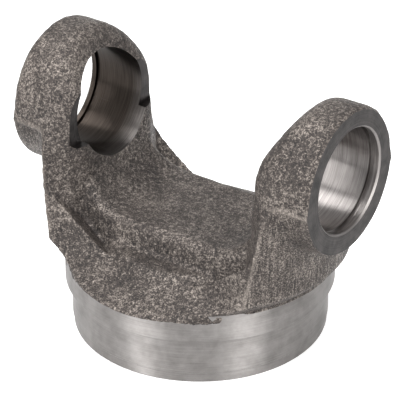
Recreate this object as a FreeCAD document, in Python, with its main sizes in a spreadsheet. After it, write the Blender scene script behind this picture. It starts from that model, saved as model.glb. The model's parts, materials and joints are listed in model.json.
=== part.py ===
"""Weld yoke of a driveshaft: one drop forging with a turned hub and two bored ears.

The forging is modelled first: a dished hub, a saddle across it and two ears rising from
crescent-shaped legs. The machining follows it, as in the factory: the hub is turned, the ears
are faced, bored, grooved for snap rings and relieved inside.

Millimetres. +Z runs up the axis of the shaft, the origin is the centre of the hub's bottom
face, and +X runs along the axis of the cross bores.
"""
import FreeCAD, Part
import math
import os
import re

import Sketcher
from FreeCAD import Vector

SIZES = {
    # Turned hub: the pilot presses into the tube, and the shoulder matches the tube's outside.
    "pilot_radius": 42.34,
    "pilot_height": 17.0,
    "lead_in_radius": 41.95,
    "lead_in_height": 3.8,
    "shoulder_radius": 44.45,
    "turned_height": 26.4,
    # Raw flange: it slopes down to the rim at front and back.
    "rim_height": 23.0,
    "flange_slope": 22.5,
    "flange_floor": 29.8,
    # Roots of the legs: a conical bowl inside, and fans that spread to the rim outside.
    "bowl_radius": 32.0,
    "bowl_pitch": 45.0,
    "root_height": 46.0,
    "crest_width": 56.0,
    "crest_floor_width": 24.0,
    "crest_radius": 26.0,
    "fan_width": 68.0,
    "fan_floor_width": 66.0,
    # Low round pad in the middle of the flange.
    "pad_radius": 31.8,
    "pad_height": 32.0,
    "pad_corner": 2.6,
    # Dished underside.
    "dish_mouth_radius": 32.0,
    "dish_floor_radius": 24.0,
    "dish_depth": 14.0,
    # Saddle between the ears.
    "saddle_height": 40.0,
    "saddle_width": 38.8,
    "saddle_draft": 14.0,
    "saddle_rise": 14.0,
    "saddle_corner": 1.6,
    # Cross bore and ears.
    "bore_height": 68.6,
    "bore_radius": 17.46,
    "ear_span": 114.4,
    "ear_radius": 24.2,
    "facing_stock": 1.0,
    "crown_corner": 2.2,
    "boss_corner": 1.2,
    "ear_inner_reach": 34.0,
    "ear_crown_height": 75.0,
    "ear_inner_draft": 6.0,
    "crown_draft": 27.0,
    "crown_bend_radius": 14.0,
    "ear_inner_corner": 8.0,
    # Legs: a crescent in plan at the foot, at the shoulder and at the neck.
    "foot_level": 21.0,
    "foot_width": 64.6,
    "foot_inner_width": 34.0,
    "foot_reach": 48.9,
    "foot_turn": 34.0,
    "shoulder_level": 61.0,
    "shoulder_width": 56.4,
    "shoulder_inner_width": 33.0,
    "shoulder_reach": 51.6,
    "shoulder_turn": 60.0,
    "neck_level": 70.0,
    "neck_reach": 52.2,
    "neck_turn": 85.0,
    "leg_toe_height": 31.0,
    # Machining of the ears.
    "relief_span": 72.1,
    "relief_width": 45.0,
    "relief_bottom": 60.5,
    "relief_corner": 3.0,
    "ring_groove_span": 106.4,
    "ring_groove_width": 1.8,
    "ring_groove_radius": 18.6,
    "bore_chamfer": 0.6,
    # How far pieces run into each other, and how far cuts run out past the stock.
    "pad_overlap": 3.0,
    "saddle_overlap": 11.0,
    "ear_overlap": 6.0,
    "fan_overcut": 1.0,
    "overcut": 5.0,
}


def bind(text):
    """Turn the size names in an expression into references to the sheet."""
    return re.sub(r"[a-z_]+", lambda word: "sizes." + word[0] if word[0] in SIZES else word[0], text)


def add_sheet(document):
    """Write the driving dimensions to the document's spreadsheet."""
    sheet = document.addObject("Spreadsheet::Sheet", "sizes")
    for row, (alias, number) in enumerate(SIZES.items(), start=1):
        sheet.set(f"A{row}", alias)
        sheet.set(f"B{row}", str(number))
        sheet.setAlias(f"B{row}", alias)
    document.recompute()
    return sheet


def value(document, text):
    """Work out an expression of size names as a number."""
    return float(document.sizes.evalExpression(bind(text)))


def add_body(document, name):
    """Start a body with its own origin planes."""
    body = document.addObject("PartDesign::Body", name)
    body.Label = name
    return body


def origin_part(body, role):
    """Find a plane or axis of a body's origin by its role."""
    return next(part for part in body.Origin.OriginFeatures if part.Role == role)


def arc_between(start, end, radius, side):
    """Make the shorter arc from start to end that bulges left (+1) or right (-1) of the chord."""
    chord = end - start
    middle = (start + end) * 0.5
    left = Vector(-chord.y, chord.x, 0).normalize()
    centre = middle - left * side * math.sqrt(radius ** 2 - (chord.Length / 2) ** 2)
    first, last = (end, start) if side > 0 else (start, end)
    angles = [math.atan2(point.y - centre.y, point.x - centre.x) for point in (first, last)]
    if angles[1] < angles[0]:
        angles[1] += 2 * math.pi
    return Part.ArcOfCircle(Part.Circle(centre, Vector(0, 0, 1), radius), *angles)


def add_outline(body, name, plane, corners, arcs=None, offset=("0", "0", "0")):
    """Add a closed sketch whose corners and arc radii are bound to the sheet.

    Args:
        body: the body that gets the sketch.
        name: the sketch's name.
        plane: role of the origin plane that the sketch lies on.
        corners: pairs of expressions, across and up, in order round the outline.
        arcs: for each side that is an arc, by the number of its first corner, the expression of
            its radius and +1 or -1 for a bulge to the left or right of the way round.
        offset: expressions that shift the sketch across, up and away from its plane.
    """
    document, arcs = body.Document, arcs or {}
    sketch = body.newObject("Sketcher::SketchObject", name)
    sketch.AttachmentSupport = [(origin_part(body, plane), "")]
    sketch.MapMode = "FlatFace"
    for axis, shift in zip("xyz", offset):
        sketch.setExpression(f".AttachmentOffset.Base.{axis}", bind(shift))
    points = [Vector(value(document, across), value(document, up), 0) for across, up in corners]
    first_point = []
    for number, start in enumerate(points):
        end = points[(number + 1) % len(points)]
        if number in arcs:
            radius, side = arcs[number]
            sketch.addGeometry(arc_between(start, end, value(document, radius), side), False)
            first_point.append(2 if side > 0 else 1)
            sketch.addConstraint(Sketcher.Constraint("Radius", number, value(document, radius)))
            sketch.setExpression(f"Constraints[{sketch.ConstraintCount - 1}]", bind(radius))
        else:
            sketch.addGeometry(Part.LineSegment(start, end), False)
            first_point.append(1)
    for number, corner in enumerate(corners):
        before = number - 1 if number else len(corners) - 1
        sketch.addConstraint(Sketcher.Constraint("Coincident", before, 3 - first_point[before],
                                                 number, first_point[number]))
        for kind, text in zip(("DistanceX", "DistanceY"), corner):
            sketch.addConstraint(Sketcher.Constraint(kind, -1, 1, number, first_point[number],
                                                     value(document, text)))
            sketch.setExpression(f"Constraints[{sketch.ConstraintCount - 1}]", bind(text))
    return sketch


def add_feature(body, kind, name, **settings):
    """Add a feature to a body, set its properties and bind those given as expressions."""
    feature = body.newObject(f"PartDesign::{kind}", name)
    for key, setting in settings.items():
        if isinstance(setting, str) and key != "Type":
            feature.setExpression(key, bind(setting))
        else:
            setattr(feature, key, setting)
    body.Document.recompute()
    return feature


def edges_where(shape, test):
    """Name the edges of a shape that pass a test."""
    return [f"Edge{number}" for number, edge in enumerate(shape.Edges, start=1) if test(edge)]


def round_edges(body, name, test, radius):
    """Round the edges of a body's present shape that pass a test."""
    base = body.Tip
    names = edges_where(base.Shape, test)
    return add_feature(body, "Fillet", name, Base=(base, names), Radius=radius)


def bevel_edges(body, name, test, size):
    """Chamfer the edges of a body's present shape that pass a test."""
    base = body.Tip
    names = edges_where(base.Shape, test)
    return add_feature(body, "Chamfer", name, Base=(base, names), Size=size)


# Places that several features share, as expressions of the sizes.
RISE_TOP = "(saddle_height + saddle_rise * (1 - sin(ear_inner_draft)))"
INNER_AT_RISE = f"(ear_inner_reach - (bore_height - {RISE_TOP}) * tan(ear_inner_draft))"
RISE_FOOT = f"({INNER_AT_RISE} - saddle_rise * cos(ear_inner_draft))"
INNER_AT_CROWN = "(ear_inner_reach + (ear_crown_height - bore_height) * tan(ear_inner_draft))"
EAR_TOP = "(bore_height + ear_radius)"
EAR_BOTTOM = "(bore_height - ear_radius - overcut)"
INNER_AT_TOP = f"({INNER_AT_CROWN} + ({EAR_TOP} - ear_crown_height) * tan(crown_draft))"
RAW_FACE = "(ear_span / 2 + facing_stock)"
BOWL_MOUTH = "(bowl_radius + (root_height - flange_floor) / tan(bowl_pitch))"


def inner_reach(level):
    """Distance of the ear's drafted inner face from the shaft's axis at one level."""
    return f"(ear_inner_reach - (bore_height - {level}) * tan(ear_inner_draft))"


def make_hub(document):
    """Turned hub with its flange, the pad and the saddle on it and the dish under it."""
    body = add_body(document, "hub")
    section = add_outline(body, "hub_section", "XZ_Plane", [
        ("0", "dish_depth"),
        ("dish_floor_radius", "dish_depth"),
        ("dish_mouth_radius", "0"),
        ("lead_in_radius", "0"),
        ("lead_in_radius", "lead_in_height"),
        ("pilot_radius", "lead_in_height"),
        ("pilot_radius", "pilot_height"),
        ("foot_reach", "pilot_height"),
        ("foot_reach", "root_height"),
        (BOWL_MOUTH, "root_height"),
        ("bowl_radius", "flange_floor"),
        ("0", "flange_floor"),
    ])
    add_feature(body, "Revolution", "turned_hub", Profile=section,
                ReferenceAxis=(section, ["V_Axis"]), Angle=360.0)
    shape_flange(body)
    add_pad(body)
    add_saddle(body)
    return body


def slope_level(across):
    """Height of the flange's front and back slopes at a distance from the XZ plane."""
    return f"(rim_height + (shoulder_radius - {across}) * tan(flange_slope))"


def fan_outline(body, name, width, floor_width):
    """Sketch the space between the legs' roots in a plane parallel to the XZ plane.

    Args:
        body: the body that gets the sketch.
        name: the sketch's name.
        width: twice the plane's distance from the XZ plane.
        floor_width: width of the space's flat floor. Both sides sweep up from it.
    """
    floor, top = slope_level(f"{width} / 2"), "(root_height + fan_overcut)"
    sweep = f"sqrt(pow(crest_radius; 2) - pow(crest_radius - {top} + {floor}; 2))"
    half_mouth, half_floor = f"({floor_width} / 2 + {sweep})", f"({floor_width} / 2)"
    return add_outline(body, name, "XZ_Plane", [
        (f"0 - {half_mouth}", top),
        (f"0 - {half_floor}", floor),
        (half_floor, floor),
        (half_mouth, top),
    ], arcs={0: ("crest_radius", -1), 2: ("crest_radius", -1)}, offset=("0", "0", f"{width} / 2"))


def shape_flange(body):
    """Cut the fans of the legs' roots and the slopes to the front and back rim."""
    crest = fan_outline(body, "crest", "crest_width", "crest_floor_width")
    fan = fan_outline(body, "fan", "fan_width", "fan_floor_width")
    front_fan = add_feature(body, "SubtractiveLoft", "front_fan", Profile=crest, Sections=[fan],
                            Ruled=True)
    mirror_across(body, "back_fan", "XZ_Plane", [front_fan])
    outside = "(foot_reach + overcut)"
    slope = add_outline(body, "front_slope", "YZ_Plane", [
        (f"0 - {outside}", slope_level(outside)),
        ("0 - fan_width / 2", slope_level("fan_width / 2")),
        ("0 - fan_width / 2", "root_height + fan_overcut"),
        (f"0 - {outside}", "root_height + fan_overcut"),
    ])
    front = add_feature(body, "Pocket", "front_slope_cut", Profile=slope, Type="ThroughAll",
                        Midplane=True)
    mirror_across(body, "back_slope_cut", "XZ_Plane", [front])


def add_pad(body):
    """Add the low round pad in the middle of the flange."""
    section = add_outline(body, "pad_section", "XZ_Plane", [
        ("0", "flange_floor - pad_overlap"),
        ("pad_radius", "flange_floor - pad_overlap"),
        ("pad_radius", "pad_height - pad_corner"),
        ("pad_radius - pad_corner", "pad_height"),
        ("0", "pad_height"),
    ])
    add_feature(body, "Revolution", "pad", Profile=section, ReferenceAxis=(section, ["V_Axis"]),
                Angle=360.0)


def add_saddle(body):
    """Add the drafted block of the saddle and hollow its top between the ears."""
    document = body.Document
    half_length = f"({INNER_AT_RISE} + saddle_overlap)"
    half_width = "(saddle_width / 2 + (saddle_height - flange_floor) * tan(saddle_draft))"
    plan = add_outline(body, "saddle_plan", "XY_Plane", [
        (f"0 - {half_length}", f"0 - {half_width}"),
        (half_length, f"0 - {half_width}"),
        (half_length, half_width),
        (f"0 - {half_length}", half_width),
    ], offset=("0", "0", "flange_floor"))
    add_feature(body, "Pad", "saddle_block", Profile=plan, Length=f"{RISE_TOP} - flange_floor",
                TaperAngle="0 - saddle_draft")
    curve = add_outline(body, "saddle_curve", "XZ_Plane", [
        (f"0 - {INNER_AT_RISE}", RISE_TOP),
        (f"0 - {RISE_FOOT}", "saddle_height"),
        (RISE_FOOT, "saddle_height"),
        (INNER_AT_RISE, RISE_TOP),
        (INNER_AT_RISE, f"{RISE_TOP} + overcut"),
        (f"0 - {INNER_AT_RISE}", f"{RISE_TOP} + overcut"),
    ], arcs={0: ("saddle_rise", -1), 2: ("saddle_rise", -1)})
    add_feature(body, "Pocket", "saddle_top", Profile=curve, Type="ThroughAll", Midplane=True)
    bevel_edges(body, "saddle_edges", lambda edge: is_saddle_edge(document, edge), "saddle_corner")


def is_saddle_edge(document, edge):
    """Tell whether an edge runs along the top of the saddle's front or back side."""
    width, level = value(document, "saddle_width"), value(document, "saddle_height")
    slope = math.tan(math.radians(value(document, "saddle_draft")))
    return abs(edge.CenterOfMass.z - level) < 0.01 and all(
        abs(abs(point.y) - width / 2 + (point.z - level) * slope) < 0.01
        for point in edge_points(edge))


def make_right_ear(document):
    """Raw right ear: round boss with a rounded crown on a leg of crescent section."""
    body = add_body(document, "right_ear")
    at_bore = ("0", "bore_height", "0")
    start = "(ear_inner_reach - ear_overlap)"
    crown = add_outline(body, "crown_section", "XZ_Plane", [
        (start, "0"),
        (RAW_FACE, "0"),
        (RAW_FACE, "ear_radius - crown_corner"),
        (f"{RAW_FACE} - crown_corner", "ear_radius"),
        (start, "ear_radius"),
    ], offset=at_bore)
    add_feature(body, "Revolution", "crown", Profile=crown, ReferenceAxis=(crown, ["H_Axis"]),
                Angle=180.0, Midplane=True)
    boss = add_outline(body, "boss_section", "XZ_Plane", [
        (start, "0"),
        (start, "0 - ear_radius"),
        (f"{RAW_FACE} - boss_corner", "0 - ear_radius"),
        (RAW_FACE, "boss_corner - ear_radius"),
        (RAW_FACE, "0"),
    ], offset=at_bore)
    add_feature(body, "Revolution", "boss", Profile=boss, ReferenceAxis=(boss, ["H_Axis"]),
                Angle=180.0, Midplane=True)
    inside = add_outline(body, "ear_inside", "XZ_Plane", [
        (f"{start} - overcut", EAR_BOTTOM),
        (inner_reach(EAR_BOTTOM), EAR_BOTTOM),
        (INNER_AT_CROWN, "ear_crown_height"),
        (INNER_AT_TOP, EAR_TOP),
        (f"{INNER_AT_TOP} + overcut * tan(crown_draft)", f"{EAR_TOP} + overcut"),
        (f"{start} - overcut", f"{EAR_TOP} + overcut"),
    ])
    add_feature(body, "Pocket", "ear_inner_face", Profile=inside, Type="ThroughAll", Midplane=True)
    round_edges(body, "crown_bend", lambda edge: is_crown_bend(document, edge), "crown_bend_radius")
    round_edges(body, "inner_rim", lambda edge: is_inner_rim(document, edge), "ear_inner_corner")
    add_leg(body)
    return body


def edge_points(edge):
    """Take points along an edge, its ends included."""
    return edge.discretize(9)


def is_crown_bend(document, edge):
    """Tell whether an edge is the bend between the two drafted planes of the ear's inside."""
    level = value(document, "ear_crown_height")
    return all(abs(point.z - level) < 0.01 for point in edge_points(edge)) and edge.Length > 1


def is_inner_rim(document, edge):
    """Tell whether an edge runs round the inner end of the boss."""
    axis, radius = value(document, "bore_height"), value(document, "ear_radius")
    limit = value(document, RAW_FACE + " - crown_corner - boss_corner")
    return all(abs(math.hypot(point.y, point.z - axis) - radius) < 0.02 and point.x < limit
               for point in edge_points(edge))


def leg_outline(body, name, level, inner, flat, corner, turn, width, reach):
    """Sketch the leg's crescent section at one level.

    Args:
        level: height of the section.
        inner: distance of the inner face from the shaft's axis.
        flat: width of the flat part of the inner face.
        corner: radius that the inner corners follow. Each is a flat bevel between its ends.
        turn: angle that the inner corners turn through.
        width: width over the outer corners.
        reach: radius of the outer face about the shaft's axis.
    """
    corner_x = f"({inner} + {corner} * (1 - cos({turn})))"
    corner_y = f"({flat} / 2 + {corner} * sin({turn}))"
    outer_x = f"(sqrt(pow({reach}; 2) - pow({width} / 2; 2)))"
    return add_outline(body, name, "XY_Plane", [
        (outer_x, f"0 - {width} / 2"),
        (outer_x, f"{width} / 2"),
        (corner_x, corner_y),
        (inner, f"{flat} / 2"),
        (inner, f"0 - {flat} / 2"),
        (corner_x, f"0 - {corner_y}"),
    ], arcs={0: (reach, -1)}, offset=("0", "0", level))


def add_leg(body):
    """Loft the leg from its neck beside the bore through its shoulder to its foot in the hub."""
    neck = leg_outline(body, "leg_neck", "neck_level", inner_reach("neck_level"),
                       "(2 * (ear_radius - ear_inner_corner))", "ear_inner_corner", "neck_turn",
                       "(2 * ear_radius)", "neck_reach")
    shoulder = leg_outline(body, "leg_shoulder", "shoulder_level", inner_reach("shoulder_level"),
                           "shoulder_inner_width", "ear_inner_corner", "shoulder_turn",
                           "shoulder_width", "shoulder_reach")
    foot = leg_outline(body, "leg_foot", "foot_level", inner_reach("foot_level"),
                       "foot_inner_width", "ear_inner_corner", "foot_turn",
                       "foot_width", "foot_reach")
    add_feature(body, "AdditiveLoft", "leg", Profile=neck, Sections=[shoulder, foot], Ruled=True)


def make_forging(document, hub, right_ear):
    """Join the hub and both ears into the raw forging."""
    left_ear = document.addObject("Part::Mirroring", "left_ear")
    left_ear.Source = right_ear
    left_ear.Normal = Vector(1, 0, 0)
    half_forging = document.addObject("Part::Fuse", "half_forging")
    half_forging.Base, half_forging.Tool = hub, right_ear
    forging = document.addObject("Part::Fuse", "forging")
    forging.Base, forging.Tool = half_forging, left_ear
    forging.Refine = True
    document.recompute()
    return forging


def make_yoke(document, forging):
    """Machine the forging: turned band, faced, relieved and bored ears, snap-ring grooves."""
    body = add_body(document, "yoke")
    body.BaseFeature = forging
    document.recompute()
    reach = ("(foot_reach + (shoulder_reach - foot_reach) * (leg_toe_height - foot_level)"
             " / (shoulder_level - foot_level))")
    under = add_outline(body, "leg_underside", "XZ_Plane", [
        ("shoulder_radius", "pilot_height"),
        ("neck_reach + overcut", "pilot_height"),
        ("neck_reach + overcut", "leg_toe_height"),
        (reach, "leg_toe_height"),
        ("shoulder_radius", "turned_height"),
    ])
    add_feature(body, "Groove", "turned_band", Profile=under, ReferenceAxis=(under, ["V_Axis"]),
                Angle=360.0)
    facing = add_outline(body, "facing", "XZ_Plane", [
        ("ear_span / 2", "0 - ear_radius - overcut"),
        ("ear_span / 2 + overcut", "0 - ear_radius - overcut"),
        ("ear_span / 2 + overcut", "ear_radius + overcut"),
        ("ear_span / 2", "ear_radius + overcut"),
    ], offset=("0", "bore_height", "0"))
    right_face = add_feature(body, "Pocket", "right_face", Profile=facing, Type="ThroughAll",
                             Midplane=True)
    mirror_across(body, "left_face", "YZ_Plane", [right_face])
    relief = add_outline(body, "relief", "YZ_Plane", [
        ("relief_corner - relief_width / 2", "relief_bottom"),
        ("relief_width / 2 - relief_corner", "relief_bottom"),
        ("relief_width / 2", "relief_bottom + relief_corner"),
        ("relief_width / 2", f"{EAR_TOP} + overcut"),
        ("0 - relief_width / 2", f"{EAR_TOP} + overcut"),
        ("0 - relief_width / 2", "relief_bottom + relief_corner"),
    ], arcs={1: ("relief_corner", -1), 5: ("relief_corner", -1)})
    add_feature(body, "Pocket", "inner_relief", Profile=relief, Type="Length",
                Length="relief_span", Midplane=True)
    bore = body.newObject("Sketcher::SketchObject", "bore_circle")
    bore.AttachmentSupport = [(origin_part(body, "YZ_Plane"), "")]
    bore.MapMode = "FlatFace"
    bore.setExpression(".AttachmentOffset.Base.y", bind("bore_height"))
    bore.addGeometry(Part.Circle(Vector(0, 0, 0), Vector(0, 0, 1), SIZES["bore_radius"]), False)
    bore.addConstraint(Sketcher.Constraint("Coincident", 0, 3, -1, 1))
    bore.addConstraint(Sketcher.Constraint("Radius", 0, SIZES["bore_radius"]))
    bore.setExpression("Constraints[1]", bind("bore_radius"))
    add_feature(body, "Pocket", "cross_bore", Profile=bore, Type="ThroughAll", Midplane=True)
    ring = add_outline(body, "ring_section", "XZ_Plane", [
        ("ring_groove_span / 2", "0"),
        ("ring_groove_span / 2 + ring_groove_width", "0"),
        ("ring_groove_span / 2 + ring_groove_width", "ring_groove_radius"),
        ("ring_groove_span / 2", "ring_groove_radius"),
    ], offset=("0", "bore_height", "0"))
    right_ring = add_feature(body, "Groove", "right_ring_groove", Profile=ring,
                             ReferenceAxis=(ring, ["H_Axis"]), Angle=360.0)
    mirror_across(body, "left_ring_groove", "YZ_Plane", [right_ring])
    bevel_edges(body, "bore_lead_in", lambda edge: is_bore_mouth(document, edge), "bore_chamfer")
    return body


def is_bore_mouth(document, edge):
    """Tell whether an edge is the outer end of a cross bore."""
    face, axis = value(document, "ear_span / 2"), value(document, "bore_height")
    radius = value(document, "bore_radius")
    return all(abs(abs(point.x) - face) < 0.01
               and abs(math.hypot(point.y, point.z - axis) - radius) < 0.01
               for point in edge_points(edge))


def mirror_across(body, name, plane, features):
    """Repeat features on the other side of an origin plane."""
    mirror = add_feature(body, "Mirrored", name, Originals=features,
                         MirrorPlane=(origin_part(body, plane), [""]))
    body.Tip = mirror
    body.Document.recompute()


def check(document, body):
    """Stop if any feature failed or the finished shape is not one valid solid."""
    for thing in document.Objects:
        if {"Invalid", "Error"} & set(thing.State):
            raise RuntimeError(f"{thing.Name} failed: {thing.State}")
    shape = body.Shape
    if shape.isNull() or not shape.isValid() or len(shape.Solids) != 1:
        raise RuntimeError(f"{body.Label} is not one valid solid")


def main():
    """Build the yoke and write its STEP file."""
    document = FreeCAD.newDocument("yoke")
    add_sheet(document)
    forging = make_forging(document, make_hub(document), make_right_ear(document))
    yoke = make_yoke(document, forging)
    check(document, yoke)
    os.makedirs("parts", exist_ok=True)
    yoke.Shape.exportStep(f"parts/{yoke.Label}.step")
    box = yoke.Shape.optimalBoundingBox()
    print(f"{yoke.Label}: {len(yoke.Shape.Faces)} faces, {yoke.Shape.Volume / 1000:.1f} cm3, "
          f"{box.XLength:.2f} x {box.YLength:.2f} x {box.ZLength:.2f} mm from z = {box.ZMin:.2f}")


main()
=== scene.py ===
"""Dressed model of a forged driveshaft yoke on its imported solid.

The raw forging is grown from the solid with machining stock on it, roughened as drop forging
and blasting leave it, and then turned, faced, relieved and bored, so that every machined face
meets the raw skin along a true cut. Lengths in the classes are millimetres unless a field's
name says otherwise, and meshes are in metres.
"""
import json
import logging
import math
from collections.abc import Sequence
from dataclasses import dataclass, field
from enum import Enum

import bmesh
import bpy
import numpy as np
from mathutils import Matrix, Vector, noise


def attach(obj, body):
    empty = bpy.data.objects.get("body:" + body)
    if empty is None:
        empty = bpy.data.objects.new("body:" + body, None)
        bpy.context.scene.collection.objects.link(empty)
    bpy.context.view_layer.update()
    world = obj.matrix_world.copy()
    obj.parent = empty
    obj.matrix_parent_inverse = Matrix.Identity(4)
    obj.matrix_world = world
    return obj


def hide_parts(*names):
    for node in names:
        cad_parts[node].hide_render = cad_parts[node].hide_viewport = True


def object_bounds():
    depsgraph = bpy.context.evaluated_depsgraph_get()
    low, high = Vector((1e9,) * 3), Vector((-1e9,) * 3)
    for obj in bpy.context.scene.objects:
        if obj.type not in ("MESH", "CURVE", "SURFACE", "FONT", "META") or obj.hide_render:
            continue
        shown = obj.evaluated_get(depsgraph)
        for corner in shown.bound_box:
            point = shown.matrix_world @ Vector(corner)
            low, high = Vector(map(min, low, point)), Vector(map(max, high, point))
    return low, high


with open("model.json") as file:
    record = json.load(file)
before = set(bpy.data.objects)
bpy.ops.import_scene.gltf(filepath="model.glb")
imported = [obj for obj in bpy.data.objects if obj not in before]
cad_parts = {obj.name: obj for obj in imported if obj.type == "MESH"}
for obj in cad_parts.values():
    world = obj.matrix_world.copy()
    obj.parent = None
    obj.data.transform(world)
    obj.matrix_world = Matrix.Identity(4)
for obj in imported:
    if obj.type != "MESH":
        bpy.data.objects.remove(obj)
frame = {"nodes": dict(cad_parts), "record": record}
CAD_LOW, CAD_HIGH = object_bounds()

logging.basicConfig(level=logging.INFO, format="%(name)s: %(message)s")
log = logging.getLogger("yoke")

MM = 0.001
NODE = "yoke"

# Radius that stands for the axis itself at the ends of a turned cutter.
AXIS = 0.01
# Offsets that tell the noises of the raw skin apart.
WAVES, LUMPS, PEENING, FLASH = 3.1, 17.7, 41.3, 71.9

Point = tuple[float, float, float]


class Finish(Enum):
    """Material slots of the yoke, in slot order."""

    FORGED = 0
    TURNED = 1
    MILLED = 2
    BORED = 3


def mount(name: str) -> dict:
    """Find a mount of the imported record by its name."""
    return next(entry for entry in frame["record"]["mounts"] if entry["name"] == name)


# --- Mesh helpers -------------------------------------------------------------------------


def mesh_object(name: str, vertices: Sequence[Point], faces: Sequence[Sequence[int]],
                finish: Finish) -> bpy.types.Object:
    """Make a mesh object from points in millimetres.

    Args:
        name: the object's name.
        vertices: the points.
        faces: the corners of each face, by number.
        finish: the slot that all its faces take.

    Returns:
        The new object, linked to the scene.
    """
    mesh = bpy.data.meshes.new(name)
    mesh.from_pydata([Vector(point) * MM for point in vertices], [], faces)
    for _ in Finish:
        mesh.materials.append(None)
    shape = bmesh.new()
    shape.from_mesh(mesh)
    bmesh.ops.recalc_face_normals(shape, faces=shape.faces)
    shape.to_mesh(mesh)
    shape.free()
    mesh.polygons.foreach_set("material_index", [finish.value] * len(mesh.polygons))
    thing = bpy.data.objects.new(name, mesh)
    bpy.context.scene.collection.objects.link(thing)
    return thing


def revolve(name: str, profile: Sequence[tuple[float, float]], finish: Finish,
            about_x: bool = False, height: float = 0.0, steps: int = 256,
            sweep: tuple[float, float] = (0.0, 360.0)) -> bpy.types.Object:
    """Turn a closed profile about the shaft's axis or about the cross bores' axis.

    Args:
        name: the object's name.
        profile: (radius, station along the axis) of each corner, in order.
        finish: the slot of its faces.
        about_x: turn about the axis of the bores instead of the shaft's.
        height: height of the axis of the bores.
        steps: number of steps in a full turn.
        sweep: first and last angle, in degrees. A full turn closes on itself.

    Returns:
        The closed solid.
    """
    start, end = (math.radians(angle) for angle in sweep)
    full = math.isclose(end - start, math.tau)
    count = max(2, round(steps * (end - start) / math.tau)) + (0 if full else 1)
    rows = []
    for row in range(count):
        angle = start + (end - start) * row / (count if full else count - 1)
        for radius, station in profile:
            across, up = radius * math.cos(angle), radius * math.sin(angle)
            rows.append((station, across, up + height) if about_x else (across, up, station))
    corners = len(profile)
    faces = []
    for row in range(count if full else count - 1):
        near, far = row * corners, (row + 1) % count * corners
        for corner in range(corners):
            after = (corner + 1) % corners
            faces.append((near + corner, near + after, far + after, far + corner))
    if not full:
        faces += [tuple(range(corners)), tuple(range((count - 1) * corners, count * corners))]
    return mesh_object(name, rows, faces, finish)


def prism(name: str, outline: Sequence[tuple[float, float]], low: float, high: float,
          finish: Finish) -> bpy.types.Object:
    """Extrude an outline in Y and Z between two stations along X.

    Args:
        name: the object's name.
        outline: (Y, Z) corners in order.
        low: the first station.
        high: the last station.
        finish: the slot of its faces.

    Returns:
        The closed solid.
    """
    count = len(outline)
    points = [(station, across, up) for station in (low, high) for across, up in outline]
    faces = [tuple(range(count)), tuple(range(count, 2 * count))]
    faces += [(side, (side + 1) % count, (side + 1) % count + count, side + count)
              for side in range(count)]
    return mesh_object(name, points, faces, finish)


def applied(thing: bpy.types.Object) -> None:
    """Give an object the mesh that its modifiers make, and clear them.

    Args:
        thing: the object.
    """
    view = bpy.context.evaluated_depsgraph_get()
    mesh = bpy.data.meshes.new_from_object(thing.evaluated_get(view))
    thing.modifiers.clear()
    thing.data = mesh


def cut(body: bpy.types.Object, cutter: bpy.types.Object) -> None:
    """Cut a solid out of a body, which takes the cutter's finish on the cut faces.

    Args:
        body: the body that is cut.
        cutter: the closed solid that is cut out of it. It is used up.
    """
    tool = body.modifiers.new("cut", "BOOLEAN")
    tool.operation = "DIFFERENCE"
    tool.solver = "EXACT"
    tool.material_mode = "INDEX"
    tool.object = cutter
    applied(body)
    bpy.data.objects.remove(cutter)


def points_of(mesh: bpy.types.Mesh) -> np.ndarray:
    """Read a mesh's points.

    Args:
        mesh: the mesh.

    Returns:
        Rows of X, Y and Z in millimetres.
    """
    flat = np.empty(len(mesh.vertices) * 3, np.float32)
    mesh.vertices.foreach_get("co", flat)
    return flat.reshape(-1, 3).astype(float) / MM


def normals_of(mesh: bpy.types.Mesh) -> np.ndarray:
    """Read a mesh's normals at its points.

    Args:
        mesh: the mesh.

    Returns:
        One row for each point.
    """
    flat = np.empty(len(mesh.vertices) * 3, np.float32)
    mesh.vertices.foreach_get("normal", flat)
    return flat.reshape(-1, 3).astype(float)


def set_points(mesh: bpy.types.Mesh, points: np.ndarray) -> None:
    """Write points in millimetres back to a mesh."""
    mesh.vertices.foreach_set("co", (points * MM).astype(np.float32).ravel())
    mesh.update()


def noise_at(points: np.ndarray, grain: float, shift: float) -> np.ndarray:
    """Read smooth noise at points.

    Args:
        points: rows of X, Y and Z in millimetres.
        grain: size of the lumps in millimetres.
        shift: offset that tells one noise from another.

    Returns:
        One value for each point, about -1 to 1.
    """
    return np.array([noise.noise(Vector(point)) for point in points / grain + shift])


# --- The forging and its machining --------------------------------------------------------


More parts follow.
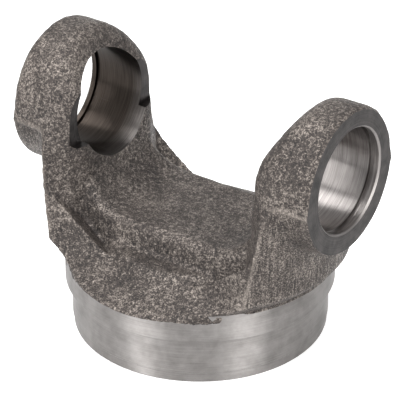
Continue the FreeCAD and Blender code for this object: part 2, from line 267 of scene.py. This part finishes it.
@dataclass
class Leg:
    """Outer corner of a leg, where the forging dies parted and the flash was trimmed.

    The parting line runs up the leg's corners and then out along the sides of the boss.
    """

    levels: tuple[float, ...] = (21.0, 61.0, 70.0)
    widths: tuple[float, ...] = (64.6, 56.4, 48.4)
    reaches: tuple[float, ...] = (48.9, 51.6, 52.2)
    parting_foot: float = 27.0
    parting_top: float = 66.0
    boss_side: float = 18.0
    slide_inset: float = 0.4
    slide_edge: float = 0.6
    slide_foot: float = 20.0

    def reach(self, level: np.ndarray) -> np.ndarray:
        """Find the outer face's radius about the shaft's axis at a level."""
        return np.interp(level, self.levels, self.reaches)

    def corner(self, level: np.ndarray) -> tuple[np.ndarray, np.ndarray]:
        """Find the corner's distance from the YZ plane and from the XZ plane at a level."""
        across = np.interp(level, self.levels, self.widths) / 2
        return np.sqrt(self.reach(level) ** 2 - across ** 2), across

    def from_parting(self, points: np.ndarray) -> np.ndarray:
        """Find how far points are from the parting line.

        Args:
            points: rows of X, Y and Z in millimetres.

        Returns:
            One distance in millimetres for each point.
        """
        along, across, up = np.abs(points[:, 0]), np.abs(points[:, 1]), points[:, 2]
        corner_x, corner_y = self.corner(up)
        below = np.maximum(0, self.parting_foot - up) + np.maximum(0, up - self.parting_top)
        leg = np.sqrt((along - corner_x) ** 2 + (across - corner_y) ** 2 + below ** 2)
        top_x, _ = self.corner(np.array(self.parting_top))
        before = np.maximum(0, top_x - along) + np.maximum(0, self.boss_side - across)
        return np.minimum(leg, np.hypot(up - self.parting_top, before))

    def outside_dies(self, points: np.ndarray) -> np.ndarray:
        """Tell which points lie on the smooth side of the parting line.

        Args:
            points: rows of X, Y and Z in millimetres.

        Returns:
            One share for each point, 1 on the smooth side and 0 on the blasted side.
        """
        along, up = np.abs(points[:, 0]), points[:, 2]
        corner_x, _ = self.corner(up)
        past = np.clip((along - corner_x + self.slide_inset) / self.slide_edge, 0, 1)
        under = np.clip((self.parting_top - up) / self.slide_edge + 0.5, 0, 1)
        return past * under * (up > self.slide_foot)


@dataclass
class Ear:
    """Raw and machined sizes of one ear, the same on both sides."""

    bore_height: float = mount("cross_bore")["pos_m"][2] / MM
    bore_radius: float = mount("cross_bore")["dims"]["r_mm"]
    face: float = CAD_HIGH.x / MM
    radius: float = 24.2
    stock: float = 1.1
    inner_reach: float = 34.0
    inner_draft: float = 6.0
    crown_height: float = 75.0
    crown_draft: float = 27.0
    crown_blend: float = 2.0
    rim_radius: float = 8.0
    lead_in: float = 0.6
    groove_start: float = 53.2
    groove_width: float = 1.8
    groove_radius: float = 18.6
    relief: float = 36.05
    relief_width: float = 45.0
    relief_bottom: float = 60.5
    relief_corner: float = 3.0
    core_rings: int = 14
    core_steps: int = 96
    core_tip: float = 0.001
    crown_inset: float = 1.3
    boss_inset: float = 0.4
    inner_inset: float = 0.05
    facing_half: float = 40.0
    facing_foot: float = 25.5
    overcut: float = 6.0
    top_overcut: float = 8.0
    corner_points: int = 9
    lead_out: int = 3

    def inner_face(self, across: float, up: float) -> float:
        """Find the raw inner face's distance from the YZ plane at a place on the ear.

        Args:
            across: the place's distance from the XZ plane.
            up: the place's height.

        Returns:
            The distance in millimetres.
        """
        low = self.inner_reach + (up - self.bore_height) * math.tan(math.radians(self.inner_draft))
        bend = self.inner_reach + (self.crown_height - self.bore_height) * math.tan(
            math.radians(self.inner_draft))
        high = bend + (up - self.crown_height) * math.tan(math.radians(self.crown_draft))
        plane = self.crown_blend * math.log(math.exp((low - bend) / self.crown_blend)
                                            + math.exp((high - bend) / self.crown_blend)) + bend
        plane -= self.crown_blend * math.log(2) * math.exp(
            -((up - self.crown_height) / (3 * self.crown_blend)) ** 2)
        out = math.hypot(across, max(0.0, up - self.bore_height))
        past = min(self.rim_radius, max(0.0, out - (self.radius - self.rim_radius)))
        return plane + self.rim_radius - math.sqrt(self.rim_radius ** 2 - past ** 2)

    def core(self, side: int) -> bpy.types.Object:
        """Build the stock that fills the bore, the relief and the facing allowance.

        Args:
            side: +1 for the right ear, -1 for the left.

        Returns:
            A closed plug whose inner end follows the raw inner face.
        """
        rings, steps = self.core_rings, self.core_steps
        points, faces = [], []
        for ring in range(rings + 1):
            for step in range(steps):
                angle = math.tau * step / steps
                inset = self.crown_inset if math.sin(angle) > 0 else self.boss_inset
                spread = (self.radius - inset) * (ring + self.core_tip) / rings
                across, up = spread * math.cos(angle), spread * math.sin(angle) + self.bore_height
                inner = self.inner_face(across, up) + self.inner_inset
                points.append((side * inner, across, up))
        for ring in range(rings):
            for step in range(steps):
                after = (step + 1) % steps
                near, far = ring * steps, (ring + 1) * steps
                faces.append((near + step, near + after, far + after, far + step))
        edge = len(points)
        for step in range(steps):
            _, across, up = points[rings * steps + step]
            points.append((side * (self.face + self.stock), across, up))
        for step in range(steps):
            after = (step + 1) % steps
            faces.append((rings * steps + step, rings * steps + after, edge + after, edge + step))
        faces.append(tuple(range(edge, edge + steps)))
        faces.append(tuple(range(steps)))
        return mesh_object("ear_core", points, faces, Finish.FORGED)

    def machine(self, body: bpy.types.Object) -> None:
        """Face, relieve and bore both ears.

        Args:
            body: the body with its machining stock on.
        """
        reach, top = self.face + self.overcut, self.bore_height + self.radius + self.top_overcut
        wide, foot = self.facing_half, self.facing_foot
        for side in (-1, 1):
            cut(body, prism("facing", [(-wide, foot), (wide, foot), (wide, top), (-wide, top)],
                            side * self.face, side * reach, Finish.MILLED))
        half, corner = self.relief_width / 2, self.relief_corner
        outline = [(half, top), (-half, top)]
        for side, start in ((-1, 180), (1, 270)):
            for angle in np.radians(np.linspace(start, start + 90, self.corner_points)):
                outline.append((side * (half - corner) + corner * math.cos(angle),
                                self.relief_bottom + corner + corner * math.sin(angle)))
        cut(body, prism("relief", outline, -self.relief, self.relief, Finish.MILLED))
        cut(body, revolve("bore", self.bore_profile(), Finish.BORED, about_x=True,
                          height=self.bore_height))

    def bore_profile(self) -> list[tuple[float, float]]:
        """List the bore cutter's corners: bore, ring grooves and lead-ins, and the axis.

        Returns:
            (radius, station along the axis) of each corner, in order.
        """
        start, end = self.groove_start, self.groove_start + self.groove_width
        mouth = self.bore_radius + (self.lead_out + 1) * self.lead_in
        outside = self.face + self.lead_out * self.lead_in
        right = [(self.bore_radius, start), (self.groove_radius, start), (self.groove_radius, end),
                 (self.bore_radius, end), (self.bore_radius, self.face - self.lead_in),
                 (mouth, outside)]
        left = [(radius, -station) for radius, station in reversed(right)]
        return [(AXIS, -outside), *left, *right, (AXIS, outside)]


@dataclass
class Hub:
    """Turned hub: pilot, lead-in and shoulder below the raw flange."""

    pilot_radius: float = mount("tube_pilot")["dims"]["r_mm"]
    pilot_height: float = mount("tube_stop")["pos_m"][2] / MM
    lead_in_radius: float = 41.95
    lead_in_height: float = 3.8
    shoulder_radius: float = CAD_HIGH.y / MM
    band_top: float = 26.4
    rim: float = 22.5
    edge_break: float = 0.5
    stock: float = 1.6
    dish_mouth: float = 33.5
    leg_angle: float = 36.0
    lap: float = 4.0
    leg_lap: float = 2.0
    toe_gap: float = 0.2
    overcut: float = 12.0
    below: float = 6.0

    def stock_rings(self) -> list[bpy.types.Object]:
        """Build the turning allowance round the hub and below each leg.

        Returns:
            One ring round the hub and one arc for each leg.
        """
        outside, inside = self.shoulder_radius + self.stock, self.dish_mouth + self.lap
        rings = [revolve("hub_stock", [(self.dish_mouth, -self.stock), (outside, -self.stock),
                                       (outside, self.rim), (inside, self.rim)], Finish.FORGED)]
        low, high = self.rim - self.leg_lap, self.band_top - self.toe_gap
        for middle in (0, 180):
            rings.append(revolve("leg_stock", [(inside, low), (outside, low), (outside, high),
                                               (inside, high)], Finish.FORGED,
                                 sweep=(middle - self.leg_angle, middle + self.leg_angle)))
        return rings

    def machine(self, body: bpy.types.Object) -> None:
        """Turn the hub's outside and face its bottom.

        Args:
            body: the body with its machining stock on.
        """
        outside, step = self.shoulder_radius + self.overcut, self.pilot_radius - self.lead_in_radius
        cut(body, revolve("turning", [
            (outside, -self.below), (outside, self.band_top), (self.shoulder_radius, self.band_top),
            (self.shoulder_radius, self.pilot_height), (self.pilot_radius, self.pilot_height),
            (self.pilot_radius, self.lead_in_height), (self.lead_in_radius,
                                                       self.lead_in_height - step),
            (self.lead_in_radius, self.edge_break), (self.lead_in_radius - self.edge_break, 0),
            (AXIS, 0), (AXIS, -self.below)], Finish.TURNED))


@dataclass
class Forging:
    """Raw skin of the forging: how it is grown from the solid and roughened."""

    voxel: float = 0.75
    smoothing: int = 5
    smooth_factor: float = 0.5
    wave_grain: float = 11.0
    wave_height: float = 0.16
    lump_grain: float = 3.4
    lump_height: float = 0.12
    peen_grain: float = 1.7
    peen_height: float = 0.10
    flash_height: float = 0.55
    flash_width: float = 0.75
    flash_share: float = 0.7
    flash_swing: float = 0.5
    flash_grain: float = 4.0
    slid_calm: float = 0.6
    blend: float = 5.0
    blend_rounds: int = 90
    blend_least: float = 0.02
    face_margin: float = 1.0
    leg: Leg = field(default_factory=Leg)

    def grow(self, stock: Sequence[bpy.types.Object], ear: Ear) -> bpy.types.Object:
        """Join the solid and its machining stock into one evenly meshed body.

        Args:
            stock: closed pieces that overlap the solid. They are used up.
            ear: the ears' sizes, for the hollow under each boss.

        Returns:
            The body, smooth and still without its forged surface.
        """
        body = frame["nodes"][NODE].copy()
        body.data = body.data.copy()
        body.name = "forged_yoke"
        bpy.context.scene.collection.objects.link(body)
        shape = bmesh.new()
        shape.from_mesh(body.data)
        for piece in stock:
            shape.from_mesh(piece.data)
            bpy.data.objects.remove(piece)
        shape.to_mesh(body.data)
        shape.free()
        remesh = body.modifiers.new("grow", "REMESH")
        remesh.mode = "VOXEL"
        remesh.voxel_size = self.voxel * MM
        smooth = body.modifiers.new("round", "SMOOTH")
        smooth.factor, smooth.iterations = self.smooth_factor, self.smoothing
        applied(body)
        self.blend_bosses(body, ear)
        body.data.materials.clear()
        for _ in Finish:
            body.data.materials.append(None)
        log.info("forging: %d quads", len(body.data.polygons))
        return body

    def blend_bosses(self, body: bpy.types.Object, ear: Ear) -> None:
        """Sweep each leg's outer face out into the underside of its boss.

        Args:
            body: the evenly meshed body.
            ear: the ears' sizes.
        """
        points = points_of(body.data)
        along, across, up = np.abs(points[:, 0]), points[:, 1], points[:, 2]
        from_boss = np.hypot(across, up - ear.bore_height) - ear.radius
        from_leg = np.hypot(along, across) - self.leg.reach(up)
        weight = np.exp(-(from_boss ** 2 + from_leg ** 2) / self.blend ** 2)
        weight *= (up < ear.bore_height) & (along > ear.relief)
        weight *= along < ear.face - self.face_margin
        group = body.vertex_groups.new(name="under_boss")
        for number in np.flatnonzero(weight > self.blend_least):
            group.add([int(number)], float(weight[number]), "REPLACE")
        smooth = body.modifiers.new("blend", "SMOOTH")
        smooth.factor, smooth.iterations = self.smooth_factor, self.blend_rounds
        smooth.vertex_group = group.name
        applied(body)
        body.vertex_groups.clear()

    def roughen(self, body: bpy.types.Object) -> None:
        """Raise the flash line and give the skin its waves, lumps and peening.

        Args:
            body: the evenly meshed body.
        """
        points, normals = points_of(body.data), normals_of(body.data)
        calm = 1 - self.slid_calm * self.leg.outside_dies(points)
        rise = self.wave_height * noise_at(points, self.wave_grain, WAVES)
        rise += self.lump_height * noise_at(points, self.lump_grain, LUMPS) * calm
        rise += self.peen_height * noise_at(points, self.peen_grain, PEENING) * calm
        rise += self.flash_height * self.flash(points)
        set_points(body.data, points + normals * rise[:, None])

    def flash(self, points: np.ndarray) -> np.ndarray:
        """Find how far into the trimmed flash ridge the points are.

        Args:
            points: rows of X, Y and Z in millimetres.

        Returns:
            One share for each point, 0 away from the ridge and about 1 on its top.
        """
        ridge = np.exp(-(self.leg.from_parting(points) / self.flash_width) ** 2)
        uneven = noise_at(points, self.flash_grain, FLASH)
        return ridge * (self.flash_share + self.flash_swing * uneven)

    def mark(self, body: bpy.types.Object) -> None:
        """Note on the finished mesh where the flash was trimmed and the dies slid.

        Args:
            body: the machined body.
        """
        points = points_of(body.data)
        masks = {"flash": self.flash(points), "outside_dies": self.leg.outside_dies(points)}
        for name, mask in masks.items():
            note = body.data.attributes.new(name, "FLOAT", "POINT")
            note.data.foreach_set("value", mask.astype(np.float32))


# --- Finishes -----------------------------------------------------------------------------


def linear(colour: str) -> tuple[float, float, float, float]:
    """Turn an sRGB hex colour into a linear one.

    Args:
        colour: the colour as a hash and six hex digits.

    Returns:
        Linear red, green, blue and alpha.
    """
    parts = [int(colour[place:place + 2], 16) / 255 for place in (1, 3, 5)]
    return (*[part / 12.92 if part <= 0.04045 else ((part + 0.055) / 1.055) ** 2.4
              for part in parts], 1.0)


def add_node(tree: bpy.types.NodeTree, kind: str, settings: dict | None = None,
             **inputs: object) -> bpy.types.Node:
    """Add a node, set its properties and fill its sockets.

    Args:
        tree: the node tree.
        kind: the node's type, without its ShaderNode prefix.
        settings: the node's own properties.
        inputs: a value or an output socket for each input, by its name with underscores for
            spaces, or by i and its number.

    Returns:
        The node.
    """
    node = tree.nodes.new("ShaderNode" + kind)
    for key, setting in (settings or {}).items():
        setattr(node, key, setting)
    for key, given in inputs.items():
        name = int(key[1:]) if key[0] == "i" and key[1:].isdigit() else key.replace("_", " ")
        socket = node.inputs[name]
        if isinstance(given, bpy.types.NodeSocket):
            tree.links.new(given, socket)
        else:
            socket.default_value = given
    return node


def new_material(name: str) -> tuple[bpy.types.Material, bpy.types.NodeTree]:
    """Start a material with an empty node tree.

    Args:
        name: the material's name.

    Returns:
        The material and its tree.
    """
    material = bpy.data.materials.new(name)
    material.use_nodes = True
    material.node_tree.nodes.clear()
    return material, material.node_tree


def stops(node: bpy.types.Node, places: Sequence[tuple[float, str]]) -> bpy.types.NodeSocket:
    """Set a colour ramp's stops.

    Args:
        node: the ramp.
        places: the place and the sRGB hex colour of each stop.

    Returns:
        The ramp's colour output.
    """
    ramp = node.color_ramp
    while len(ramp.elements) < len(places):
        ramp.elements.new(0.5)
    for element, (place, colour) in zip(ramp.elements, places):
        element.position, element.color = place, linear(colour)
    return node.outputs["Color"]


@dataclass(frozen=True)
class ForgedSkin:
    """Shot-blasted drop forging in carbon steel: dark brown oxide with peened bright points.

    The shot leaves a grain of half a millimetre that glints where it caught bare metal, and
    outside the parting line the sliding dies leave it smoother, with fine upright streaks.
    Pointiness lifts the tone on convex bumps and edges, partly as bare metal worn there and
    partly as painted highlight, and lowers it in hollows.
    """

    grit_grain: float = 0.5
    pit_grain: float = 1.3
    patch_grain: float = 13.0
    streak_grain: float = 0.7
    streak_stretch: float = 0.09
    dark: str = "#171514"
    middle: str = "#3f3936"
    bright: str = "#8a827b"
    trimmed: str = "#857d76"
    bump: float = 0.5
    pit_share: float = 0.5
    streak_share: float = 0.35
    patch_share: float = 0.22
    # Share of the pointiness term: painted highlight on bumps and edges, partly bare metal worn
    # there.
    wear_and_highlight_share: float = 0.6
    tone_level: float = 0.41
    trimmed_share: float = 0.5
    oxide_tone: float = 0.85
    bare_tone: float = 1.1
    oxide_roughness: float = 0.6
    bare_roughness: float = 0.32
    oxide_metallic: float = 0.2
    bare_metallic: float = 0.9
    specular: float = 0.3

    def material(self) -> bpy.types.Material:
        """Build the finish.

        Returns:
            The material.
        """
        material, tree = new_material("blasted_forged_steel")
        place = add_node(tree, "TexCoord").outputs["Object"]
        grit = add_node(tree, "TexNoise", Vector=place, Scale=1 / (self.grit_grain * MM),
                        Detail=2.0, Roughness=0.6).outputs["Fac"]
        pits = add_node(tree, "TexNoise", Vector=place, Scale=1 / (self.pit_grain * MM),
                        Detail=3.0, Roughness=0.65, Distortion=0.5).outputs["Fac"]
        patches = add_node(tree, "TexNoise", Vector=place, Scale=1 / (self.patch_grain * MM),
                           Detail=3.0, Roughness=0.6).outputs["Fac"]
        upright = add_node(tree, "Mapping", Vector=place,
                           Scale=(1.0, 1.0, self.streak_stretch)).outputs[0]
        streaks = add_node(tree, "TexNoise", Vector=upright, Scale=1 / (self.streak_grain * MM),
                           Detail=3.0, Roughness=0.6).outputs["Fac"]
        blasted = add_node(tree, "Mix", Factor=self.pit_share, i2=grit, i3=pits).outputs[0]
        slid = add_node(tree, "Mix", Factor=self.streak_share, i2=grit, i3=streaks).outputs[0]
        outside = add_node(tree, "Attribute", {"attribute_name": "outside_dies"}).outputs["Fac"]
        height = add_node(tree, "Mix", Factor=outside, i2=blasted, i3=slid).outputs[0]
        tone = add_node(tree, "Math", {"operation": "MULTIPLY_ADD"}, i0=patches,
                        i1=self.patch_share, i2=height).outputs[0]
        # Pointiness paints highlight on convex bumps and edges, partly as bare metal worn there,
        # and lowers the tone in hollows.
        wear_and_painted_highlight = add_node(tree, "NewGeometry").outputs["Pointiness"]
        tone = add_node(tree, "Math", {"operation": "MULTIPLY_ADD"}, i0=wear_and_painted_highlight,
                        i1=self.wear_and_highlight_share, i2=tone).outputs[0]
        level = add_node(tree, "Math", {"operation": "SUBTRACT"}, i0=tone,
                         i1=self.tone_level).outputs[0]
        colour = stops(add_node(tree, "ValToRGB", Fac=level),
                       [(0.36, self.dark), (0.50, self.middle), (0.66, self.bright)])
        ridge = add_node(tree, "Attribute", {"attribute_name": "flash"}).outputs["Fac"]
        flash = add_node(tree, "Math", {"operation": "MULTIPLY"}, i0=ridge,
                         i1=self.trimmed_share).outputs[0]
        colour = add_node(tree, "Mix", {"data_type": "RGBA"}, Factor=flash, i6=colour,
                          i7=linear(self.trimmed)).outputs[2]
        shine = add_node(tree, "MapRange", Value=tone, i1=self.oxide_tone, i2=self.bare_tone,
                         i3=self.oxide_roughness, i4=self.bare_roughness).outputs[0]
        metal = add_node(tree, "MapRange", Value=tone, i1=self.oxide_tone, i2=self.bare_tone,
                         i3=self.oxide_metallic, i4=self.bare_metallic).outputs[0]
        bump = add_node(tree, "Bump", Height=height, Strength=1.0, Distance=self.bump * MM)
        shader = add_node(tree, "BsdfPrincipled", Base_Color=colour, Metallic=metal,
                          Roughness=shine, Specular_IOR_Level=self.specular, Normal=bump.outputs[0])
        add_node(tree, "OutputMaterial", Surface=shader.outputs[0])
        return material


@dataclass(frozen=True)
class TurnedSteel:
    """Lathe-turned carbon steel: fine rings that draw highlights out along the shaft.

    The feed of a tenth of a millimetre is too fine to show, so its rings are drawn three times
    as coarse. Light stains lie on it.
    """

    colour: str = "#8a8785"
    shade: str = "#706d6b"
    feed: float = 0.3
    stain_grain: float = 9.0
    ring_share: float = 0.5
    ring_stretch: float = 0.02
    ring_strength: float = 0.3
    ring_depth: float = 0.04
    roughness: float = 0.4
    anisotropy: float = 0.97

    def material(self) -> bpy.types.Material:
        """Build the finish.

        Returns:
            The material.
        """
        material, tree = new_material("turned_carbon_steel")
        place = add_node(tree, "TexCoord").outputs["Object"]
        round_shaft = add_node(tree, "Mapping", Vector=place,
                               Scale=(self.ring_stretch, self.ring_stretch, 1.0)).outputs[0]
        rings = add_node(tree, "TexNoise", Vector=round_shaft, Scale=1 / (self.feed * MM),
                         Detail=3.0, Roughness=0.7).outputs["Fac"]
        stains = add_node(tree, "TexNoise", Vector=place, Scale=1 / (self.stain_grain * MM),
                          Detail=5.0, Roughness=0.65).outputs["Fac"]
        tone = add_node(tree, "Math", {"operation": "MULTIPLY_ADD"}, i0=rings,
                        i1=self.ring_share, i2=stains).outputs[0]
        colour = stops(add_node(tree, "ValToRGB", Fac=tone),
                       [(0.55, self.shade), (0.9, self.colour)])
        bump = add_node(tree, "Bump", Height=rings, Strength=self.ring_strength,
                        Distance=self.ring_depth * MM)
        tangent = add_node(tree, "Tangent", {"direction_type": "RADIAL", "axis": "Z"})
        shader = add_node(tree, "BsdfPrincipled", Base_Color=colour, Metallic=1.0,
                          Roughness=self.roughness, Anisotropic=self.anisotropy,
                          Anisotropic_Rotation=0.25, Tangent=tangent.outputs[0],
                          Normal=bump.outputs[0])
        add_node(tree, "OutputMaterial", Surface=shader.outputs[0])
        return material


@dataclass(frozen=True)
class MilledSteel:
    """Faced and relieved carbon steel: dull, painted near black as shade, with arcs round the bore
    from the cutter.
    """

    # colour and shade are painted near black: painted shade that stands in for the faces' dark
    # reflection.
    colour: str = "#3d3938"
    shade: str = "#151312"
    feed: float = 0.45
    stain_grain: float = 5.0
    arc_share: float = 0.35
    arc_strength: float = 0.4
    arc_depth: float = 0.04
    metallic: float = 0.9
    roughness: float = 0.42
    bore_height: float = Ear.bore_height

    def material(self) -> bpy.types.Material:
        """Build the finish.

        Returns:
            The material.
        """
        material, tree = new_material("milled_steel_painted_shade")
        place = add_node(tree, "TexCoord").outputs["Object"]
        centred = add_node(tree, "Mapping", Vector=place, Scale=(0.0, 1.0, 1.0),
                           Location=(0.0, 0.0, -self.bore_height * MM)).outputs[0]
        out = add_node(tree, "VectorMath", {"operation": "LENGTH"}, i0=centred).outputs["Value"]
        arcs = add_node(tree, "TexNoise", {"noise_dimensions": "1D"}, W=out,
                        Scale=1 / (self.feed * MM), Detail=2.0, Roughness=0.6).outputs["Fac"]
        stains = add_node(tree, "TexNoise", Vector=place, Scale=1 / (self.stain_grain * MM),
                          Detail=5.0, Roughness=0.65).outputs["Fac"]
        tone = add_node(tree, "Math", {"operation": "MULTIPLY_ADD"}, i0=arcs,
                        i1=self.arc_share, i2=stains).outputs[0]
        # The ramp runs between the two painted-shade colours.
        colour = stops(add_node(tree, "ValToRGB", Fac=tone),
                       [(0.5, self.shade), (0.85, self.colour)])
        bump = add_node(tree, "Bump", Height=arcs, Strength=self.arc_strength,
                        Distance=self.arc_depth * MM)
        shader = add_node(tree, "BsdfPrincipled", Base_Color=colour, Metallic=self.metallic,
                          Roughness=self.roughness, Normal=bump.outputs[0])
        add_node(tree, "OutputMaterial", Surface=shader.outputs[0])
        return material


@dataclass(frozen=True)
class BoredSteel:
    """Bored and reamed carbon steel: satin, with rings that draw highlights along the bore.

    The left bore's colour is multiplied darker than the right one's, as painted shade.
    """

    colour: str = "#8b8785"
    shade: str = "#625e5c"
    # Colour that the left bore is multiplied by: painted shade.
    left_bore_shade: str = "#857d76"
    left_shade_start: float = -30.0
    left_shade_end: float = -40.0
    feed: float = 0.4
    ring_stretch: float = 0.03
    ring_strength: float = 0.3
    ring_depth: float = 0.04
    roughness: float = 0.36
    anisotropy: float = 0.9

    def material(self) -> bpy.types.Material:
        """Build the finish.

        Returns:
            The material.
        """
        material, tree = new_material("bored_carbon_steel")
        place = add_node(tree, "TexCoord").outputs["Object"]
        round_bore = add_node(tree, "Mapping", Vector=place,
                              Scale=(1.0, self.ring_stretch, self.ring_stretch)).outputs[0]
        rings = add_node(tree, "TexNoise", Vector=round_bore, Scale=1 / (self.feed * MM),
                         Detail=3.0, Roughness=0.7).outputs["Fac"]
        colour = stops(add_node(tree, "ValToRGB", Fac=rings),
                       [(0.3, self.shade), (0.7, self.colour)])
        # Painted shade: from X = -30 mm to -40 mm the left bore's colour is multiplied ever darker.
        along = add_node(tree, "SeparateXYZ", Vector=place).outputs["X"]
        left = add_node(tree, "MapRange", Value=along, i1=self.left_shade_start * MM,
                        i2=self.left_shade_end * MM, i3=0.0, i4=1.0).outputs[0]
        shaded_left_bore = add_node(tree, "Mix", {"data_type": "RGBA", "blend_type": "MULTIPLY"},
                         Factor=left, i6=colour, i7=linear(self.left_bore_shade)).outputs[2]
        bump = add_node(tree, "Bump", Height=rings, Strength=self.ring_strength,
                        Distance=self.ring_depth * MM)
        tangent = add_node(tree, "Tangent", {"direction_type": "RADIAL", "axis": "X"})
        shader = add_node(tree, "BsdfPrincipled", Base_Color=shaded_left_bore, Metallic=1.0,
                          Roughness=self.roughness, Anisotropic=self.anisotropy,
                          Anisotropic_Rotation=0.25, Tangent=tangent.outputs[0],
                          Normal=bump.outputs[0])
        add_node(tree, "OutputMaterial", Surface=shader.outputs[0])
        return material


# --- The yoke -----------------------------------------------------------------------------


@dataclass
class Yoke:
    """The whole part: one forging with machined faces."""

    forging: Forging = field(default_factory=Forging)
    hub: Hub = field(default_factory=Hub)
    ear: Ear = field(default_factory=Ear)
    sharp_angle: float = 32.0

    def build(self) -> bpy.types.Object:
        """Grow, roughen and machine the forging, dress it and put it on its CAD body.

        Returns:
            The finished piece.
        """
        stock = [*self.hub.stock_rings(), self.ear.core(1), self.ear.core(-1)]
        body = self.forging.grow(stock, self.ear)
        self.forging.roughen(body)
        self.hub.machine(body)
        self.ear.machine(body)
        self.forging.mark(body)
        self.dress(body)
        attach(body, "root")
        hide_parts(NODE)
        log.info("yoke: %d faces", len(body.data.polygons))
        return body

    def dress(self, body: bpy.types.Object) -> None:
        """Give each slot its finish and shade the skin smooth between the cut edges.

        Args:
            body: the machined body.
        """
        finishes = {Finish.FORGED: ForgedSkin(), Finish.TURNED: TurnedSteel(),
                    Finish.MILLED: MilledSteel(), Finish.BORED: BoredSteel()}
        for slot, finish in finishes.items():
            body.data.materials[slot.value] = finish.material()
        body.data.shade_smooth()
        body.data.set_sharp_from_angle(angle=math.radians(self.sharp_angle))


# --- Studio -------------------------------------------------------------------------------


@dataclass(frozen=True)
class Lamp:
    """One soft light: its direction round the object, its size and its power in watts."""

    name: str
    azimuth: float
    elevation: float
    size: tuple[float, float]
    power: float


@dataclass
class Studio:
    """Pale floor, soft lights and the camera."""

    azimuth: float = 35.571
    elevation: float = 29.794
    roll: float = -0.304
    distance: float = 873.82
    lens: float = 241.87
    sensor: float = 36.0
    aim: Point = (0.0, 0.0, 43.2)
    lamp_distance: float = 700.0
    lamps: tuple[Lamp, ...] = (Lamp("key", -14, 30, (230, 660), 4.4),
                               Lamp("side", 74, 30, (330, 660), 4.8),
                               Lamp("top", -70, 74, (360, 360), 4.0))
    background: float = 1.0
    sky: float = 0.15
    floor_half: float = 1500.0
    floor_level: float = -0.05
    floor_glow: float = 0.45

    def direction(self, azimuth: float, elevation: float) -> Vector:
        """Find the direction towards a place round the object.

        Args:
            azimuth: degrees round the object from its front.
            elevation: degrees above the floor.

        Returns:
            The direction, one long.
        """
        turn, rise = math.radians(azimuth), math.radians(elevation)
        return Vector((math.sin(turn) * math.cos(rise), -math.cos(turn) * math.cos(rise),
                       math.sin(rise)))

    def add_camera(self) -> None:
        """Stand the camera at its place and make it the scene's."""
        data = bpy.data.cameras.new("camera")
        data.lens, data.sensor_width = self.lens, self.sensor
        data.clip_start, data.clip_end = 0.05, 20.0
        camera = bpy.data.objects.new("camera", data)
        bpy.context.scene.collection.objects.link(camera)
        back = self.direction(self.azimuth, self.elevation)
        turn = (-back).to_track_quat("-Z", "Y").to_matrix().to_4x4()
        camera.matrix_world = (Matrix.Translation((Vector(self.aim) + back * self.distance) * MM)
                               @ turn @ Matrix.Rotation(math.radians(self.roll), 4, "Z"))
        bpy.context.scene.camera = camera

    def add_light(self, lamp: Lamp) -> None:
        """Hang a soft light that points at the object.

        Args:
            lamp: the light's place, size and power.
        """
        data = bpy.data.lights.new(lamp.name, "AREA")
        data.shape, data.size, data.size_y = "RECTANGLE", lamp.size[0] * MM, lamp.size[1] * MM
        data.energy = lamp.power
        light = bpy.data.objects.new(lamp.name, data)
        bpy.context.scene.collection.objects.link(light)
        away = self.direction(lamp.azimuth, lamp.elevation)
        light.location = (Vector(self.aim) + away * self.lamp_distance) * MM
        light.rotation_euler = (-away).to_track_quat("-Z", "Y").to_euler()

    def pale(self, tree: bpy.types.NodeTree, strength: float, lit: float) -> bpy.types.NodeSocket:
        """Give a strength that is the full one to camera, glossy and transmitted rays only.

        Args:
            tree: the node tree.
            strength: what those rays see.
            lit: what all other rays see.

        Returns:
            The strength socket.
        """
        path = add_node(tree, "LightPath")
        seen = add_node(tree, "Math", {"operation": "MAXIMUM"}, i0=path.outputs["Is Camera Ray"],
                        i1=path.outputs["Is Glossy Ray"]).outputs[0]
        seen = add_node(tree, "Math", {"operation": "MAXIMUM"}, i0=seen,
                        i1=path.outputs["Is Transmission Ray"]).outputs[0]
        return add_node(tree, "Math", {"operation": "MULTIPLY_ADD"}, i0=seen,
                        i1=strength - lit, i2=lit).outputs[0]

    def add_world(self) -> None:
        """Fill the surroundings with plain pale light."""
        world = bpy.data.worlds.new("studio")
        world.use_nodes = True
        tree = world.node_tree
        tree.nodes.clear()
        back = add_node(tree, "Background", Color=linear("#ffffff"),
                        Strength=self.pale(tree, self.background, self.sky))
        add_node(tree, "OutputWorld", Surface=back.outputs[0])
        bpy.context.scene.world = world

    def add_floor(self) -> None:
        """Lay the floor: white, with the object's soft shadow on it."""
        half, level = self.floor_half, self.floor_level
        floor = mesh_object("floor", [(-half, -half, level), (half, -half, level),
                                      (half, half, level), (-half, half, level)],
                            [(0, 1, 2, 3)], Finish.FORGED)
        floor.data.materials.clear()
        material, tree = new_material("studio_floor")
        paper = add_node(tree, "BsdfDiffuse", Color=linear("#f4f4f4"))
        glow = add_node(tree, "Emission", Color=linear("#ffffff"),
                        Strength=self.pale(tree, self.floor_glow, 0.0))
        both = add_node(tree, "AddShader", i0=paper.outputs[0], i1=glow.outputs[0])
        add_node(tree, "OutputMaterial", Surface=both.outputs[0])
        floor.data.materials.append(material)

    def build(self) -> None:
        """Set up the floor, the lights and the camera."""
        self.add_floor()
        self.add_world()
        for lamp in self.lamps:
            self.add_light(lamp)
        self.add_camera()
        bpy.context.scene.view_settings.view_transform = "Standard"


def main() -> None:
    """Build the yoke and the studio."""
    Yoke().build()
    Studio().build()


if __name__ == "__main__":
    main()
